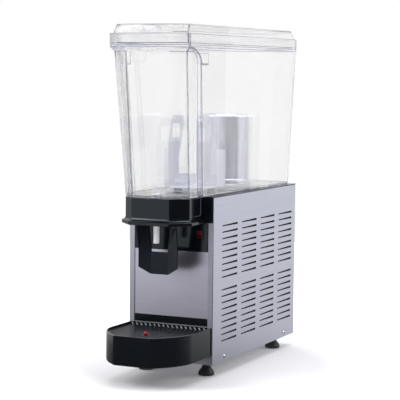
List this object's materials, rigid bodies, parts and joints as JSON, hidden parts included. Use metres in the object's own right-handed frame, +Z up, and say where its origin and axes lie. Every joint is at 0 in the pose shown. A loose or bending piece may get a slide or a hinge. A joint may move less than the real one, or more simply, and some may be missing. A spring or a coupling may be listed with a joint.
{
  "type": "cold drink dispenser",
  "caption": "Upright cold drink dispenser: a clear lidded bowl with a stirrer and a chilling cylinder, a push lever tap and a drip tray, on a narrow louvred steel cabinet.",
  "frame": {"origin": "on the surface under the feet, in the middle of the machine's width and halfway between the front of the drip tray and the back of the bowl's rim", "axes": "+X to the right seen from the front, +Y towards the back, +Z up"},
  "size_m": [0.1842, 0.592, 0.672],
  "materials": {
    "stainless_sheet": "fine horizontal brushing",
    "polished_steel": "smooth satin",
    "black_plastic": "smooth and glossy",
    "clear_plastic": "clear, polished, with a faint lavender tint",
    "white_plastic": "smooth, slightly translucent",
    "red_plastic": "smooth and glossy",
    "seal_rubber": "soft and matt",
    "black_rubber": "matt",
    "dark_metal": "semi-gloss paint",
    "aluminium": "as rolled",
    "copper": "drawn tube"
  },
  "bodies": {
    "cabinet": {"side_panel_left": "stainless_sheet", "side_panel_right": "stainless_sheet", "front_panel": "stainless_sheet", "rear_panel": "stainless_sheet", "base_pan": "stainless_sheet", "tray_shelf": "stainless_sheet", "motor_hanger": "stainless_sheet", "fan_stand": "stainless_sheet", "fan_shroud": "stainless_sheet", "evaporator": "polished_steel", "lever_pin": "polished_steel", "lever_spring": "polished_steel", "screw_left_front": "polished_steel", "screw_left_rear": "polished_steel", "screw_right_front": "polished_steel", "screw_right_rear": "polished_steel", "nose_cover": "black_plastic", "top_deck": "black_plastic", "control_panel": "black_plastic", "front_strip": "black_plastic", "switch_housing_left": "black_plastic", "switch_housing_right": "black_plastic", "thermostat": "white_plastic", "evaporator_seal": "seal_rubber", "cord_gland": "black_rubber", "compressor_bush_1": "black_rubber", "compressor_bush_2": "black_rubber", "compressor_bush_3": "black_rubber", "compressor_bush_4": "black_rubber", "compressor": "dark_metal", "drive_motor": "dark_metal", "fan_motor": "dark_metal", "condenser": "aluminium", "suction_pipe": "copper", "discharge_pipe": "copper", "liquid_pipe": "copper", "capillary_pipe": "copper", "filter_drier": "copper"},
    "bowl": {"clear_bowl": "clear_plastic"},
    "lid": {"clear_lid": "clear_plastic"},
    "valve": {"tap_piston": "white_plastic", "piston_ring_lower": "black_rubber", "piston_ring_upper": "black_rubber"},
    "lever": {"tap_lever": "black_plastic"},
    "stirrer": {"agitator": "white_plastic", "agitator_magnet": "dark_metal"},
    "drive": {"drive_magnet": "dark_metal"},
    "fan": {"fan_wheel": "aluminium"},
    "rocker_left": {"switch_rocker_left": "red_plastic"},
    "rocker_right": {"switch_rocker_right": "red_plastic"},
    "knob": {"thermostat_knob": "black_plastic"},
    "foot_a": {"foot_front_left": "black_rubber"},
    "foot_b": {"foot_front_right": "black_rubber"},
    "foot_c": {"foot_rear_left": "black_rubber"},
    "foot_d": {"foot_rear_right": "black_rubber"},
    "tray": {"drip_tray": "black_plastic"},
    "grille": {"drip_grille": "black_plastic"},
    "float": {"level_float": "red_plastic"}
  },
  "joints": [
    {"name": "bowl_lift", "type": "slide", "parent": "cabinet", "child": "bowl", "axis": [0, 0, 1], "range_m": [0, 0.16]},
    {"name": "lid_lift", "type": "slide", "parent": "bowl", "child": "lid", "axis": [0, 0, 1], "range_m": [0, 0.08]},
    {"name": "lever_push", "type": "hinge", "parent": "cabinet", "child": "lever", "pos_m": [0, -0.214, 0.311], "axis": [1, 0, 0], "range_deg": [0, 18], "stiffness_Nm_per_rad": 0.1, "springref_deg": -20.05},
    {"name": "valve_lift", "type": "slide", "parent": "bowl", "child": "valve", "axis": [0, 0, 1], "range_m": [0, 0.0056]},
    {"name": "drive_spin", "type": "hinge", "parent": "cabinet", "child": "drive", "pos_m": [0, -0.04, 0.34], "axis": [0, 0, 1], "continuous": true},
    {"name": "agitator_spin", "type": "hinge", "parent": "bowl", "child": "stirrer", "pos_m": [0, -0.04, 0.36], "axis": [0, 0, 1], "continuous": true},
    {"name": "fan_spin", "type": "hinge", "parent": "cabinet", "child": "fan", "pos_m": [0, -0.035, 0.114], "axis": [0, 1, 0], "continuous": true},
    {"name": "rocker_left_tilt", "type": "hinge", "parent": "cabinet", "child": "rocker_left", "pos_m": [-0.0626, -0.137, 0.2755], "axis": [1, 0, 0], "range_deg": [0, 20]},
    {"name": "rocker_right_tilt", "type": "hinge", "parent": "cabinet", "child": "rocker_right", "pos_m": [0.0626, -0.137, 0.2755], "axis": [1, 0, 0], "range_deg": [0, 20]},
    {"name": "thermostat_turn", "type": "hinge", "parent": "cabinet", "child": "knob", "pos_m": [0.04, 0.281, 0.305], "axis": [0, 1, 0], "range_deg": [0, 270]},
    {"name": "foot_front_left_turn", "type": "hinge", "parent": "cabinet", "child": "foot_a", "pos_m": [-0.065, -0.108, 0.01], "axis": [0, 0, 1], "continuous": true},
    {"name": "foot_front_right_turn", "type": "hinge", "parent": "cabinet", "child": "foot_b", "pos_m": [0.065, -0.108, 0.01], "axis": [0, 0, 1], "continuous": true},
    {"name": "foot_rear_left_turn", "type": "hinge", "parent": "cabinet", "child": "foot_c", "pos_m": [-0.065, 0.223, 0.01], "axis": [0, 0, 1], "continuous": true},
    {"name": "foot_rear_right_turn", "type": "hinge", "parent": "cabinet", "child": "foot_d", "pos_m": [0.065, 0.223, 0.01], "axis": [0, 0, 1], "continuous": true},
    {"name": "tray_pull", "type": "slide", "parent": "cabinet", "child": "tray", "axis": [0, -1, 0], "range_m": [0, 0.07]},
    {"name": "grille_lift", "type": "slide", "parent": "tray", "child": "grille", "axis": [0, 0, 1], "range_m": [0, 0.03]},
    {"name": "float_rise", "type": "slide", "parent": "tray", "child": "float", "axis": [0, 0, 1], "range_m": [0, 0.015]}
  ],
  "couplings": [
    {"joint": "valve_lift", "follows": "lever_push", "m_per_rad": 0.0175},
    {"joint": "agitator_spin", "follows": "drive_spin", "ratio": 1}
  ]
}
